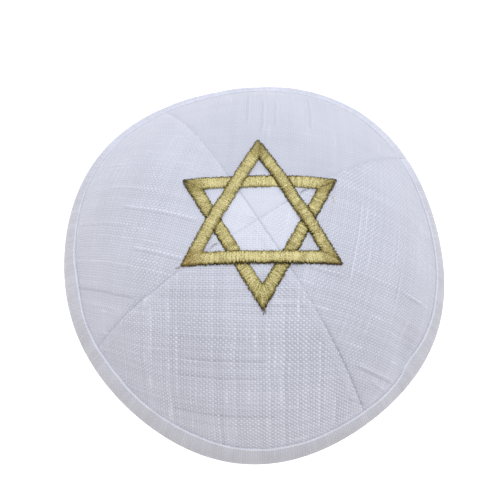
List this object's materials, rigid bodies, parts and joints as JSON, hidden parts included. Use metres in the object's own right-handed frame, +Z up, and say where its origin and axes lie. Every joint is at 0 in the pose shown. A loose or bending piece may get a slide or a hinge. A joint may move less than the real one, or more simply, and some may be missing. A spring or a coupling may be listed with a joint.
{
  "type": "kippah skullcap",
  "caption": "Shallow cloth skullcap of curved sewn panels with a folded cloth binding round its rim and a satin-stitched six-pointed star on the crown",
  "frame": {"origin": "on the surface that the cap rests on, in the middle of its rim's box", "axes": "+Z up through the crown, +Y where the star's upright point looks, -Y the front"},
  "size_m": [0.166, 0.173, 0.0442],
  "materials": {
    "panel_cloth": "slubby plain weave",
    "binding_tape": "folded and pressed plain weave",
    "gold_thread": "satin stitch with a soft sheen"
  },
  "bodies": {
    "root": {"panel_front": "panel_cloth", "panel_right": "panel_cloth", "panel_back": "panel_cloth", "panel_left": "panel_cloth", "rim_binding": "binding_tape", "star_inverted": "gold_thread", "star_upright": "gold_thread"}
  },
  "joints": []
}
